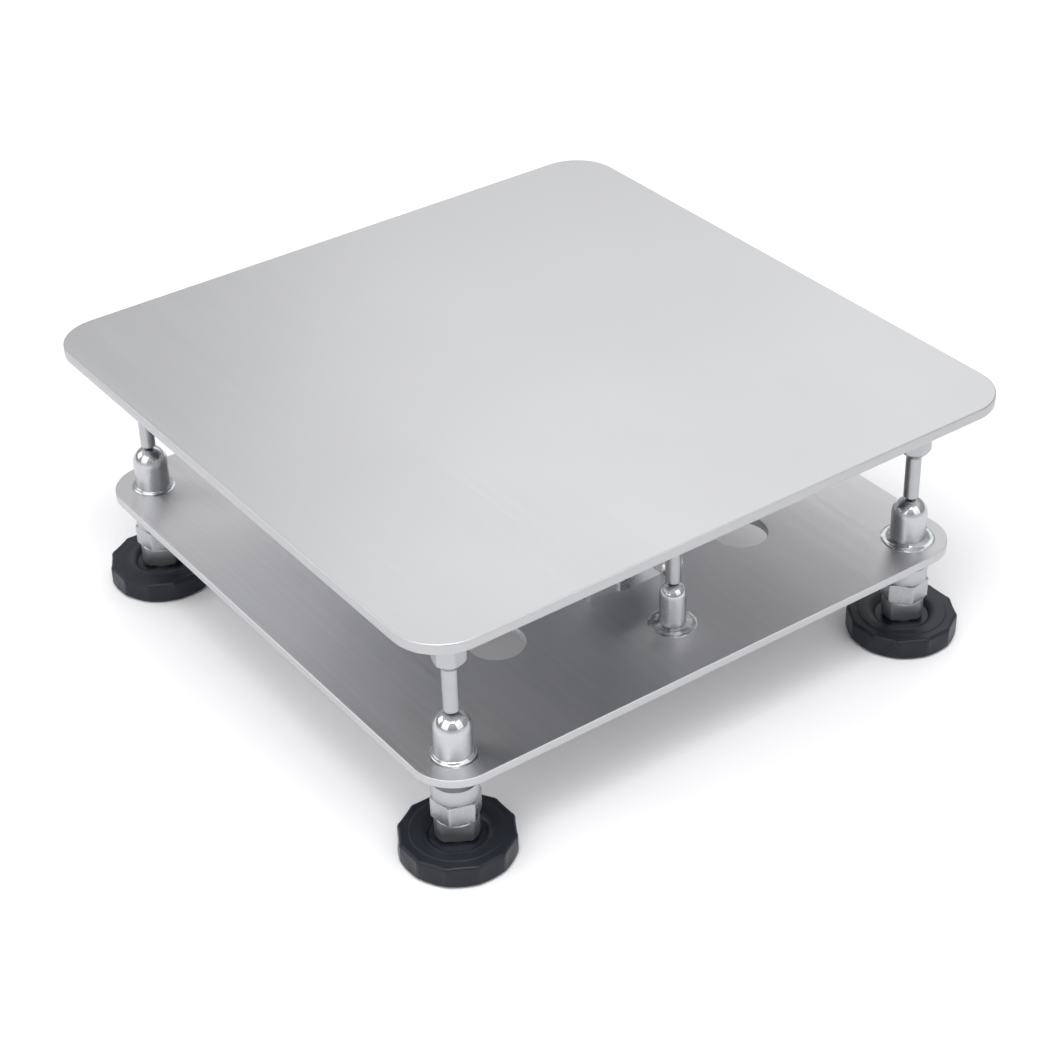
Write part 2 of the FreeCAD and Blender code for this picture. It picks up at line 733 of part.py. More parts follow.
def weld(name, inner, outer, x, y):
    """A dished weld bead round a dome: a cone with a torus-shaped hollow turned in it."""
    bead = primitive("Cone", f"{name}_bead", Radius1=outer, Radius2=f"{inner} + 0.5",
                     Height="weld_height")
    place(bead, x, y, "base_top")
    hollow = primitive("Torus", f"{name}_hollow", Radius1=f"{outer} + 0.2",
                       Radius2=f"{outer} - {inner} - 0.35")
    hollow.Angle1 = -180.0
    hollow.Angle2 = 180.0
    place(hollow, x, y, f"base_top + weld_edge + {outer} - {inner} - 0.35")
    dished = boolean("Cut", f"{name}_dished", bead, hollow)
    eye = primitive("Cylinder", f"{name}_eye", Radius=inner, Height="weld_height + 2")
    place(eye, x, y, "base_top - 1")
    return boolean("Cut", name, dished, eye)


def gauge(name, y, up):
    """A strain gauge against the thin wall of a sensing bore."""
    foil = primitive("Box", name, Length="gauge_long", Width="gauge_wide", Height="gauge_thick")
    middle = "base_top + spacer_height + cell_height / 2"
    wall = "eye_radius - 0.5 - gauge_thick"
    z = f"{middle} + {wall}" if up > 0 else f"{middle} - ( {wall} ) - gauge_thick"
    place(foil, "0 - gauge_long / 2", f"{y} - gauge_wide / 2", z)
    return foil


def gland_part(name, start, length, section):
    """A piece of the cable gland, turned about the gland's axis. It runs from start towards
    the front, and the section's second rule is the distance from start."""
    body = sub_part(name)
    lift = "base_top + spacer_height + gland_z"
    place(body, "gland_x", f"0 - cell_long / 2 - ( {start} )", lift, turn=90.0, axis=(1, 0, 0))
    if length:
        bar = new_sketch(body, "hexagon", "XY_Plane")
        outline(bar, hexagon("gland_flats"))
        pad(body, bar, length, "bar")
    sketch = new_sketch(body, "section", "XZ_Plane")
    outline(sketch, section)
    turned(body, sketch, "turned")
    return body


# The two plates.
stem_holes = [
    (signed(a, "post_offset"), signed(b, "post_offset"), "stem_radius + thread_play")
    for _, a, b in CORNERS
]
drain_holes = [
    (signed(a, "drain_x"), signed(b, "drain_y"), "drain_bore") for _, a, b in CORNERS
]
bolt_holes = [(x, y, "screw_hole") for x, y in screw_places(-1)]
plate("base_plate", "base_side", "base_thick", "base_corner", "base_rim",
      "base_top - base_thick", stem_holes + drain_holes + bolt_holes)
plate("weighing_platter", "platter_side", "platter_thick", "platter_corner", "platter_rim",
      "total_height - platter_thick", [])

# The four feet, with the domes they screw into and the stop posts above them.
for corner, a, b in CORNERS:
    x, y = signed(a, "post_offset"), signed(b, "post_offset")
    stop_post(f"stop_post_{corner}", x, y)
    corner_dome(f"foot_dome_{corner}", x, y)
    foot_stem(f"foot_stem_{corner}", x, y)
    foot_pad(f"foot_pad_{corner}", x, y)
    foot_sole(f"foot_sole_{corner}", x, y)
    lock_collar(f"lock_collar_{corner}", x, y)
    lock_nut(f"lock_nut_{corner}", x, y)

for side, sign in MIDDLES:
    stop_post(f"stop_post_{side}", "0", signed(sign, "mid_offset"))
    middle_dome(f"stop_dome_{side}", signed(sign, "mid_offset"))

# The load cell and what holds it.
load_cell()
spacer("base_spacer", -1, "base_top", "spacer_height", "screw_hole", "spacer_height")
platter_gap = ("total_height - platter_thick - base_top - spacer_height - cell_height")
spacer("platter_block", 1, "base_top + spacer_height + cell_height", platter_gap,
       "screw_radius + thread_play", "screw_bite + 3")
cell_cover("cell_cover_left", -1)
cell_cover("cell_cover_right", 1)

# Fasteners, welds and gauges, each kind in one node.
front_low = "base_top - base_thick - washer_thick"
front_length = "washer_thick + base_thick + spacer_height + screw_bite"
rear_low = "base_top + spacer_height - washer_thick"
rear_length = "washer_thick + cell_height + screw_bite"
group("base_screws", [
    cap_screw(f"base_screw_{i}", front_length, x, y, front_low)
    for i, (x, y) in enumerate(screw_places(-1), start=1)
])
group("base_washers", [
    washer(f"base_washer_{i}", x, y, front_low)
    for i, (x, y) in enumerate(screw_places(-1), start=1)
])
group("platter_screws", [
    cap_screw(f"platter_screw_{i}", rear_length, x, y, rear_low)
    for i, (x, y) in enumerate(screw_places(1), start=1)
])
group("platter_washers", [
    washer(f"platter_washer_{i}", x, y, rear_low)
    for i, (x, y) in enumerate(screw_places(1), start=1)
])
group("platter_studs", [
    stud(f"stud_{corner}", signed(a, "post_offset"), signed(b, "post_offset"))
    for corner, a, b in CORNERS
] + [stud(f"stud_{side}", "0", signed(sign, "mid_offset")) for side, sign in MIDDLES])
group("corner_welds", [
    weld(f"weld_{corner}", "dome_radius", "weld_radius",
         signed(a, "post_offset"), signed(b, "post_offset"))
    for corner, a, b in CORNERS
])
group("middle_welds", [
    weld(f"weld_{side}", "mid_radius", "mid_weld_radius", "0", signed(sign, "mid_offset"))
    for side, sign in MIDDLES
])
group("strain_gauges", [
    gauge(f"gauge_{i}", signed(end, "eye_offset"), up)
    for i, (end, up) in enumerate(((-1, -1), (-1, 1), (1, -1), (1, 1)), start=1)
])

# The cable gland in the front end of the load cell.
gland_part("gland_body", "0", "gland_flange", (
    ("cable_bore + 0.4", "0 - gland_bite"),
    ("gland_thread", "0 - gland_bite"),
    ("gland_thread", "0"),
    ("gland_flats / 2 - 0.3", "0"),
    ("gland_flats / 2 - 0.3", "gland_flange"),
    ("seal_radius + 1", "gland_flange"),
    ("seal_radius + 1", "gland_flange + 3"),
    ("seal_radius", "gland_flange + 3"),
    ("seal_radius", "gland_flange"),
    ("cable_bore + 0.4", "gland_flange"),
))
gland_part("gland_nut", "gland_flange", "", (
    ("seal_radius + 1.05", "0.3"),
    ("gland_nut_radius", "0.3"),
    ("gland_nut_radius", "gland_nut_long - 1.2"),
    ("gland_nut_radius - 1.4", "gland_nut_long"),
    ("cable_bore + 0.5", "gland_nut_long"),
    ("cable_bore + 0.5", "seal_long"),
    ("seal_radius + 1.05", "seal_long"),
))
gland_part("gland_seal", "gland_flange", "", (
    ("cable_bore", "0"),
    ("seal_radius", "0"),
    ("seal_radius", "seal_long"),
    ("cable_bore", "seal_long"),
))

document.recompute()
for thing in document.Objects:
    if "Invalid" in thing.State or "Error" in thing.State:
        raise RuntimeError(f"{thing.Name} failed: {thing.State}")
for node in nodes:
    if node.Shape.isNull() or not node.Shape.isValid():
        raise RuntimeError(f"{node.Label} has no valid shape")

os.makedirs("parts", exist_ok=True)
for node in nodes:
    node.Shape.exportStep(os.path.join("parts", f"{node.Label}.step"))
    low, high = node.Shape.BoundBox, len(node.Shape.Solids)
    print(f"{node.Label}: {high} solid(s), {node.Shape.Volume:.0f} mm3, "
          f"z {low.ZMin:.2f} to {low.ZMax:.2f}")
print(len(nodes), "nodes")
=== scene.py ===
"""Materials, detailed pieces, studio and camera for the low square weighing scale.

The scene is in metres: the floor is z = 0, and the middle of the scale is above the origin.
Sizes of pieces are in millimetres, and MM scales them down where a mesh is made."""

import json
import math

import bpy
from mathutils import Euler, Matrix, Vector, noise


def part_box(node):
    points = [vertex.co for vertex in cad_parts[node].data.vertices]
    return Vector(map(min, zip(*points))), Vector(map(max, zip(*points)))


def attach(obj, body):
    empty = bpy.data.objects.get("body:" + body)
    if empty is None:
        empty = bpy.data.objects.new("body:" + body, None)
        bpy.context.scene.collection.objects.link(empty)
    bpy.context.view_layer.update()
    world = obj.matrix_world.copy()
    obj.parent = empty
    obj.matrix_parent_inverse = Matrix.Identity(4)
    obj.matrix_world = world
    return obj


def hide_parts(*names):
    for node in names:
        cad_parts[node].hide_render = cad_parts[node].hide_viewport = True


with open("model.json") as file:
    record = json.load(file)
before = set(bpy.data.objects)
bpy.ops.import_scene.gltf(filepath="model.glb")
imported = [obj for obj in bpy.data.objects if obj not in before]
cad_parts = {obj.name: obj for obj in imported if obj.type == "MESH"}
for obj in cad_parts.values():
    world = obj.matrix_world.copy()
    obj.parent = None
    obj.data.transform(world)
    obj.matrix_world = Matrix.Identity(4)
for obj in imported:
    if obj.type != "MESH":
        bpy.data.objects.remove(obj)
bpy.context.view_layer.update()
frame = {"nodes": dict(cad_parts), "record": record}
CORNERS = ("front_left", "front_right", "rear_left", "rear_right")
MIDDLES = ("front_middle", "rear_middle")

# Sizes in millimetres --------------------------------------------------------------------------

MM = 0.001  # one millimetre in metres

PLATTER_CORNER = 22.0
PLATTER_RIM = 0.6  # rounding of the platter's edges
BASE_CORNER = 20.0
BASE_RIM = 0.45
DRAIN_X = 67.3  # drain holes, from the middle of the base plate
DRAIN_Y = 74.0
DRAIN_RADIUS = 12.5

POST_FLATS = 12.6  # across flats of a stop post's hexagon
POST_BLANK = 7.2  # radius of the round bar that the hexagon is cut from
POST_LONG = 27.0  # length of the hexagon
POST_CONE = 2.6  # from the hexagon down to the rod
POST_ROD = 3.4  # radius of the rod
POST_TURN = 15.0  # degrees

CORNER_DOME = 8.0  # radius
CORNER_BORE = 6.05  # radius of the bore that the foot screws into
MIDDLE_DOME = 5.85
POLISH_LOW = 67.2  # floor to the edge of a dome's polished cap

WELD_RISE = 1.45  # height of a bead against its dome
WELD_GAP = 0.02  # keeps a bead's faces off the dome and the plate
CORNER_BEAD = 12.0  # outer radius of a bead
SMALL_BEAD = 9.9
MIDDLE_BEAD = 10.6

PITCH = 1.75  # of the feet's thread
THREAD_ROOT = 5.15
THREAD_CREST = 6.0
THREAD_LOW = 20.0  # floor to the start of the thread, on top of the wrench neck
THREAD_LONG = 32.0
STEM_TOP = 59.4
NECK_RADIUS = 9.35
NECK_LOW = 9.5
NECK_FLAT = 6.7  # from the middle to a wrench flat
NECK_FLAT_TOP = 18.8
NECK_TURN = 58.0  # degrees

SCREW_HOLE = 6.1  # radius of the hole in a lock nut or collar
NUT_FLATS = 19.0
NUT_BLANK = 10.97  # radius of the nut over its corners
NUT_TURN = 41.0  # degrees
FRONT_RIGHT_NUT_TURN = 9.0
COLLAR_RADIUS = 10.0

PAD_RADIUS = 25.0
PAD_FLAT = 24.2  # from the middle to a grip flat
PAD_EDGE = 1.5  # rounding of the upper edge
PAD_STEP = 0.4  # height of the raised disc above the rim
PAD_MOUTH = 16.2  # radius where the disc rounds down into the hub recess
PAD_BOWL = 5.0  # rounding of that recess
PAD_GRIPS = 12

GLAND_RADIUS = 5.8
KNURL_DEPTH = 0.35
KNURL_RIBS = 32

# Material helpers ------------------------------------------------------------------------------


class Shader:
    """A Principled material with short calls for the nodes behind it."""

    def __init__(self, name, color, **sockets):
        self.material = bpy.data.materials.new(name)
        self.material.use_nodes = True
        self.tree = self.material.node_tree
        self.surface = self.tree.nodes["Principled BSDF"]
        self.set("Base Color", (*color, 1.0))
        for key, value in sockets.items():
            self.set(key.replace("_", " ").title().replace("Ior", "IOR"), value)
        self.place = self.add("ShaderNodeTexCoord").outputs["Object"]

    def set(self, socket, value):
        self.surface.inputs[socket].default_value = value

    def link(self, source, socket):
        self.tree.links.new(source, self.surface.inputs[socket])

    def add(self, kind, inputs=(), **settings):
        node = self.tree.nodes.new(kind)
        for key, value in settings.items():
            setattr(node, key, value)
        for key, value in dict(inputs).items():
            if isinstance(value, bpy.types.NodeSocket):
                self.tree.links.new(value, node.inputs[key])
            else:
                node.inputs[key].default_value = value
        return node

    def stretched(self, scale):
        """Object coordinates with their own scale along each axis."""
        node = self.add("ShaderNodeMapping", {"Vector": self.place, "Scale": scale})
        return node.outputs["Vector"]

    def noise(self, vector, scale=1.0, detail=3.0, rough=0.5):
        node = self.add("ShaderNodeTexNoise", {
            "Vector": vector, "Scale": scale, "Detail": detail, "Roughness": rough})
        return node.outputs["Fac"]

    def between(self, value, low, high, start=0.3, stop=0.7):
        """The value mapped from start..stop to low..high."""
        node = self.add("ShaderNodeMapRange", {
            "Value": value, "From Min": start, "From Max": stop, "To Min": low, "To Max": high})
        return node.outputs["Result"]

    def blend(self, factor, first, second):
        node = self.add("ShaderNodeMix", data_type="RGBA")
        for key, value in ((0, factor), (6, first), (7, second)):
            if isinstance(value, bpy.types.NodeSocket):
                self.tree.links.new(value, node.inputs[key])
            else:
                node.inputs[key].default_value = (*value, 1.0) if key else value
        return node.outputs[2]

    def maths(self, operation, first, second):
        node = self.add("ShaderNodeMath", {0: first, 1: second}, operation=operation)
        return node.outputs[0]

    def sum(self, first, second, share=None):
        """The sum of two values, or their average in which the first has the given share."""
        if share:
            first = self.maths("MULTIPLY", first, share)
            second = self.maths("MULTIPLY", second, 1 - share)
        return self.maths("ADD", first, second)

    def upward(self, vector):
        """The part of a vector that points up: for self.place, metres above the floor."""
        return self.add("ShaderNodeSeparateXYZ", {"Vector": vector}).outputs["Z"]

    def bump(self, value, strength, distance):
        node = self.add("ShaderNodeBump", {
            "Height": value, "Strength": strength, "Distance": distance})
        if self.surface.inputs["Normal"].links:
            earlier = self.surface.inputs["Normal"].links[0].from_socket
            self.tree.links.new(earlier, node.inputs["Normal"])
        self.link(node.outputs["Normal"], "Normal")


FINE_SHARE = 0.6  # of the fine pattern in a mix of a fine and a broad one
BROAD_GRAIN = 0.16  # scale of broad streaks against fine ones
TURNED_RINGS = (60.0, 60.0, 5200.0)  # grain of a turned surface round an upright axis
DOME_RINGS = (60.0, 60.0, 6000.0)


def shade(color, factor):
    return tuple(min(1.0, c * factor) for c in color)


def brushed(name, color, roughness, grain=(2200.0, 14.0, 2200.0), contrast=0.06,
            spread=0.0, tangent=None, relief=0.25, mottle=9.0, edge=1.0):
    """Brushed metal: fine streaks along the axis whose grain is small, plus a broad mottle.
    edge scales the colour of the upright faces down: painted shade, which makes the sides darker
    than the tops."""
    s = Shader(name, color, metallic=1.0)
    fine = s.noise(s.stretched(grain), detail=4.0, rough=0.65)
    broad = s.noise(s.stretched(tuple(g * BROAD_GRAIN for g in grain)), detail=3.0)
    cloud = s.noise(s.place, scale=mottle, detail=2.0)
    streak = s.sum(fine, broad, FINE_SHARE)
    face = s.blend(s.between(streak, 0.0, 1.0), shade(color, 1 - contrast),
                   shade(color, 1 + contrast))
    # Painted shade: the upright faces get a darker colour than the tops, with a faint mottle.
    if edge != 1.0:
        normal = s.add("ShaderNodeTexCoord").outputs["Normal"]
        flat = s.maths("ABSOLUTE", s.upward(normal), 0.0)
        painted_side_shade = s.blend(cloud, shade(color, edge * 0.98), shade(color, edge * 1.02))
        face = s.blend(s.between(flat, 0.0, 1.0, 0.15, 0.55), painted_side_shade, face)
    s.link(face, "Base Color")
    wear = s.sum(s.between(streak, -0.05, 0.05), s.between(cloud, -0.03, 0.03))
    s.link(s.sum(wear, roughness), "Roughness")
    s.bump(streak, relief, 0.00002)
    if tangent:
        s.set("Anisotropic", spread)
        way = s.add("ShaderNodeCombineXYZ")
        for i, value in enumerate(tangent):
            way.inputs[i].default_value = value
        s.link(way.outputs[0], "Tangent")
    return s.material


def turned_metal(name, color, roughness, contrast=0.05):
    """Turned metal: faint rings round an upright axis, with small stains."""
    s = Shader(name, color, metallic=1.0)
    rings = s.noise(s.stretched(TURNED_RINGS), detail=3.0, rough=0.6)
    stain = s.noise(s.place, scale=240.0, detail=4.0, rough=0.6)
    mix = s.sum(rings, stain, FINE_SHARE)
    s.link(s.blend(s.between(mix, 0.0, 1.0), shade(color, 1 - contrast),
                   shade(color, 1 + contrast)), "Base Color")
    s.link(s.sum(s.between(mix, -0.07, 0.07), roughness), "Roughness")
    s.bump(rings, 0.2, 0.00001)
    return s.material


def polished_dome(name, color, edge, fade=0.0003):
    """Satin turned side below a height, mirror polish above it. edge and fade are in metres."""
    s = Shader(name, color, metallic=1.0)
    rings = s.noise(s.stretched(DOME_RINGS), detail=3.0, rough=0.6)
    scratch = s.noise(s.stretched((900.0, 900.0, 160.0)), detail=4.0, rough=0.7)
    polish = s.between(s.upward(s.place), 0.0, 1.0, edge - fade, edge + fade)
    satin = s.between(rings, 0.26, 0.42)
    mirror = s.between(scratch, 0.05, 0.11)
    node = s.add("ShaderNodeMix", data_type="FLOAT")
    for key, value in ((0, polish), (2, satin), (3, mirror)):
        s.tree.links.new(value, node.inputs[key])
    s.link(node.outputs[0], "Roughness")
    s.link(s.blend(scratch, shade(color, 0.93), shade(color, 1.04)), "Base Color")
    s.bump(rings, 0.12, 0.00001)
    return s.material


def polished_weld(name, color):
    """A ground and polished weld with ripples left in it."""
    s = Shader(name, color, metallic=1.0)
    ripple = s.noise(s.place, scale=520.0, detail=2.0, rough=0.5)
    tint = s.noise(s.place, scale=170.0, detail=3.0)
    s.link(s.blend(s.between(tint, 0.0, 1.0), shade(color, 0.80), shade(color, 1.08)),
           "Base Color")
    s.link(s.between(ripple, 0.14, 0.27), "Roughness")
    s.bump(ripple, 0.35, 0.0003)
    return s.material


DUST = 0.30  # how light the dust is


def moulded(name, color, roughness, relief=0.12, dust=0.05, gloss=0.45):
    """Moulded plastic or rubber: fine erosion grain, and dust that covers a share of it."""
    s = Shader(name, color)
    s.set("Specular IOR Level", gloss)
    grains = s.noise(s.place, scale=1500.0, detail=3.0, rough=0.6)
    cloud = s.noise(s.place, scale=70.0, detail=4.0, rough=0.6)
    dusty = tuple(c + (DUST - c) * dust for c in color)
    s.link(s.blend(s.between(cloud, 0.0, 1.0), color, dusty), "Base Color")
    wear = s.sum(s.between(grains, -0.06, 0.06), s.between(cloud, -0.06, 0.06))
    s.link(s.sum(wear, roughness), "Roughness")
    s.bump(grains, relief, 0.00005)
    return s.material


# edge=0.80 and edge=0.84 paint shade on the plates' upright faces.
materials = {
    "platter_steel": brushed("platter_steel", (0.590, 0.593, 0.606), 0.36, spread=0.35,
                             tangent=(0, 1, 0), contrast=0.025, relief=0.12, edge=0.80),
    "base_steel": brushed("base_steel", (0.66, 0.66, 0.675), 0.38, contrast=0.07,
                          spread=0.88, tangent=(1, 0, 0), relief=0.15, edge=0.84),
    "post_steel": turned_metal("post_steel", (0.45, 0.455, 0.47), 0.36),
    "dome_steel": polished_dome("dome_steel", (0.56, 0.565, 0.58), POLISH_LOW * MM),
    "weld_steel": polished_weld("weld_steel", (0.60, 0.62, 0.625)),
    "collar_steel": turned_metal("collar_steel", (0.47, 0.48, 0.495), 0.36),
    "nut_steel": brushed("nut_steel", (0.46, 0.47, 0.485), 0.29, grain=(900.0, 900.0, 160.0),
                         contrast=0.08, mottle=220.0),
    "stem_steel": turned_metal("stem_steel", (0.60, 0.61, 0.625), 0.38, contrast=0.08),
    "pad_plastic": moulded("pad_plastic", (0.010, 0.012, 0.019), 0.35, dust=0.01, gloss=0.30),
    "sole_rubber": moulded("sole_rubber", (0.020, 0.020, 0.021), 0.75, relief=0.3),
    "cell_steel": brushed("cell_steel", (0.66, 0.67, 0.68), 0.30, mottle=40.0),
    "cover_steel": brushed("cover_steel", (0.74, 0.75, 0.76), 0.24, mottle=50.0),
    "block_steel": brushed("block_steel", (0.62, 0.63, 0.65), 0.32,
                           grain=(40.0, 1600.0, 1600.0), mottle=60.0),
    "screw_steel": turned_metal("screw_steel", (0.60, 0.60, 0.62), 0.28, contrast=0.10),
    "gauge_foil": moulded("gauge_foil", (0.62, 0.30, 0.07), 0.42),
    "gland_brass": turned_metal("gland_brass", (0.74, 0.73, 0.69), 0.20),
    "seal_rubber": moulded("seal_rubber", (0.020, 0.020, 0.020), 0.70),
}
slot_of = {entry["node"]: entry["material_slot"] for entry in frame["record"]["subparts"]}
body_of = {node: body for body, nodes in frame["record"]["behaviour"]["bodies"].items()
           for node in nodes}
CAD_SHARP = 28.0  # degrees between two faces that makes their edge a sharp one
for node, thing in frame["nodes"].items():
    thing.data.materials.clear()
    thing.data.materials.append(materials[slot_of[node]])
    thing.data.shade_smooth()
    thing.data.set_sharp_from_angle(angle=math.radians(CAD_SHARP))

# Shape helpers ---------------------------------------------------------------------------------


def finish_piece(name, mesh, node, sharp=32.0):
    """Gives a mesh its material, and the body and slot of the CAD node that it stands for."""
    mesh.materials.clear()
    mesh.materials.append(materials[slot_of[node]])
    mesh.shade_smooth()
    mesh.set_sharp_from_angle(angle=math.radians(sharp))
    piece = bpy.data.objects.new(name, mesh)
    bpy.context.scene.collection.objects.link(piece)
    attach(piece, body_of[node])
    return piece


def column(node):
    """The middle of a CAD node in metres, and its bottom and top in millimetres."""
    low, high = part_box(node)
    return (low + high) / 2, low.z / MM, high.z / MM


def clamp(value, low=0.0, high=1.0):
    return max(low, min(high, value))


def rounded(points, radii, steps=4):
    """A line of (r, z) points whose corner i is rounded with radii[i]."""
    line = []
    for i, point in enumerate(points):
        radius = radii.get(i, 0.0)
        if not radius or i in (0, len(points) - 1):
            line.append(point)
            continue
        here, before, after = (Vector(points[j]) for j in (i, i - 1, i + 1))
        first, last = (before - here).normalized(), (after - here).normalized()
        half = first.angle(last) / 2
        reach = radius / math.tan(half)
        reach = min(reach, (before - here).length * 0.49, (after - here).length * 0.49)
        start, stop = here + first * reach, here + last * reach
        for k in range(steps + 1):
            t = k / steps
            line.append(tuple(start * (1 - t) ** 2 + here * 2 * t * (1 - t) + stop * t * t))
    return line


def dense(points, step):
    """The line with extra points, so that no stretch is longer than step."""
    line = [points[0]]
    for (r0, z0), (r1, z1) in zip(points, points[1:]):
        parts = max(1, math.ceil(math.hypot(r1 - r0, z1 - z0) / step))
        line += [(r0 + (r1 - r0) * k / parts, z0 + (z1 - z0) * k / parts)
                 for k in range(1, parts + 1)]
    return line


def turn_mesh(section, limit=None, count=96, loop=False, axis=(0.0, 0.0), angles=None):
    """A mesh turned from (r, z) points in millimetres round an axis that is given in metres.
    limit(angle, z) cuts the radius down. loop joins the last point to the first. A point at
    r = 0 closes the mesh."""
    angles = angles or [2 * math.pi * k / count for k in range(count)]
    count = len(angles)
    verts, rings = [], []
    for r, z in section:
        if r <= 1e-6:
            rings.append([len(verts)])
            verts.append((axis[0], axis[1], z * MM))
            continue
        rings.append(list(range(len(verts), len(verts) + count)))
        for a in angles:
            here = min(r, limit(a, z)) if limit else r
            verts.append((axis[0] + here * math.cos(a) * MM,
                          axis[1] + here * math.sin(a) * MM, z * MM))
    faces = []
    pairs = list(zip(rings, rings[1:])) + ([(rings[-1], rings[0])] if loop else [])
    for low, high in pairs:
        for k in range(count):
            n = (k + 1) % count
            if len(low) == 1 and len(high) == 1:
                continue
            if len(low) == 1:
                faces.append((low[0], high[n], high[k]))
            elif len(high) == 1:
                faces.append((low[k], low[n], high[0]))
            else:
                faces.append((low[k], low[n], high[n], high[k]))
    mesh = bpy.data.meshes.new("turned")
    mesh.from_pydata(verts, [], faces)
    mesh.validate()
    return mesh


def polygon_limit(sides, flats, turn, ease=0.0):
    """Radius of a regular polygon at an angle, its corners taken down by ease."""
    sector = 2 * math.pi / sides

    def limit(angle, _):
        offset = (angle - math.radians(turn)) % sector - sector / 2
        return min(flats / 2 / math.cos(offset), flats / 2 / math.cos(sector / 2) - ease)

    return limit


def sharp_angles(sides, turn, count=8):
    """Angles that fall on a polygon's corners, with count steps along each side."""
    total = sides * count
    return [math.radians(turn) + 2 * math.pi * k / total for k in range(total)]


def plate_mesh(side, corner, low, thick, rim, holes=()):
    """A square plate with round corners and softened edges. holes are (x, y, r)."""
    curve = bpy.data.curves.new("plate", "CURVE")
    curve.dimensions = "2D"
    curve.fill_mode = "BOTH"
    curve.extrude = (thick / 2 - rim) * MM
    curve.bevel_depth = rim * MM
    curve.bevel_resolution = 3
    curve.offset = -rim * MM
    half = side / 2 - corner
    corner_steps, hole_steps = 16, 72
    outline = []
    for quarter, (sx, sy) in enumerate(((1, 1), (-1, 1), (-1, -1), (1, -1))):
        for k in range(corner_steps + 1):
            a = math.pi / 2 * (quarter + k / corner_steps)
            outline.append((sx * half + corner * math.cos(a), sy * half + corner * math.sin(a)))
    rings = [outline]
    for x, y, r in holes:
        backward = [-2 * math.pi * k / hole_steps for k in range(hole_steps)]
        rings.append([(x + r * math.cos(a), y + r * math.sin(a)) for a in backward])
    for ring in rings:
        spline = curve.splines.new("POLY")
        spline.points.add(len(ring) - 1)
        for point, (x, y) in zip(spline.points, ring):
            point.co = (x * MM, y * MM, 0.0, 1.0)
        spline.use_cyclic_u = True
    thing = bpy.data.objects.new("plate_curve", curve)
    bpy.context.scene.collection.objects.link(thing)
    bpy.context.view_layer.update()
    mesh = bpy.data.meshes.new_from_object(
        thing.evaluated_get(bpy.context.evaluated_depsgraph_get()))
    bpy.data.objects.remove(thing)
    for vertex in mesh.vertices:
        vertex.co.z += (low + thick / 2) * MM
    return mesh


# Plates ----------------------------------------------------------------------------------------

low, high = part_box("weighing_platter")
platter = finish_piece("platter_top", plate_mesh(
    (high.x - low.x) / MM, PLATTER_CORNER, low.z / MM, (high.z - low.z) / MM, PLATTER_RIM),
    "weighing_platter")
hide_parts("weighing_platter")

low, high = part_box("base_plate")
holes = [(sx * DRAIN_X, sy * DRAIN_Y, DRAIN_RADIUS) for sx in (-1, 1) for sy in (-1, 1)]
base = finish_piece("base_top", plate_mesh(
    (high.x - low.x) / MM, BASE_CORNER, low.z / MM, (high.z - low.z) / MM, BASE_RIM, holes),
    "base_plate")
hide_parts("base_plate")

# Stop posts, domes and welds -------------------------------------------------------------------


def stop_post(name):
    """A hexagon bar drawn down to a rod."""
    node = f"stop_post_{name}"
    middle, bottom, top = column(node)
    shoulder = top - POST_LONG
    section = rounded([
        (0.0, bottom),
        (POST_ROD, bottom),
        (POST_ROD, shoulder - POST_CONE),
        (POST_BLANK - 1.6, shoulder),
        (POST_BLANK, shoulder + 1.3),
        (POST_BLANK, top),
        (0.0, top),
    ], {1: 0.5, 2: 0.8, 3: 0.3})
    mesh = turn_mesh(dense(section, 0.7), polygon_limit(6, POST_FLATS, POST_TURN, 0.12),
                     axis=middle[:2], angles=sharp_angles(6, POST_TURN, 12))
    piece = finish_piece(f"post_{name}", mesh, node)
    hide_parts(node)


def dome(node, radius, bore=None):
    """A round stop with a ball end, hollow below its cone where it has a bore."""
    middle, bottom, top = column(node)
    ball = [math.pi / 2 * k / 24 for k in range(24)]
    outside = [(radius, bottom)]
    outside += [(radius * math.cos(a), top - radius + radius * math.sin(a)) for a in ball]
    outside += [(0.0, top)]
    inside = [(0.0, top - 4.0), (bore, top - 7.0), (bore, bottom)] if bore else [(0.0, bottom)]
    mesh = turn_mesh(inside + outside, axis=middle[:2], count=128)
    name = node.replace("foot_dome", "bullet").replace("stop_dome", "bullet")
    piece = finish_piece(name, mesh, node)
    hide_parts(node)


def weld(name, dome_node, inner, outer, node, ring=0.34):
    """A dished bead round a dome, a little uneven. ring lifts its outer edge."""
    middle, floor, _ = column(dome_node)
    start = inner + 0.25
    section = [(inner + WELD_GAP, floor + WELD_GAP), (inner + WELD_GAP, floor + WELD_RISE)]
    for k in range(1, 12):
        t = k / 12
        slope = 0.03 + WELD_RISE * (1 - t) ** 2.4
        section.append((start + (outer - start) * t,
                        floor + slope + ring * math.sin(math.pi * t ** 3)))
    section += [(outer + 0.1, floor + 0.04 + 0.24 * ring), (outer + 0.15, floor + WELD_GAP)]
    mesh = turn_mesh(section, axis=middle[:2], count=144, loop=True)
    for vertex in mesh.vertices:
        lift = vertex.co.z / MM - floor
        away = Vector((vertex.co.x - middle.x, vertex.co.y - middle.y, 0.0))
        if lift < 0.05 or away.length / MM < inner + 0.1:
            continue
        ripple = noise.noise(vertex.co * 420.0) + 0.5 * noise.noise(vertex.co * 1100.0)
        vertex.co.z += ripple * (0.10 + 0.4 * ring) * MM * min(1.0, lift)
        vertex.co += away.normalized() * noise.noise(vertex.co * 300.0) * 0.18 * MM
        vertex.co.z = max(vertex.co.z, (floor + 0.03) * MM)
    return finish_piece(f"weld_{name}", mesh, node, sharp=60.0)


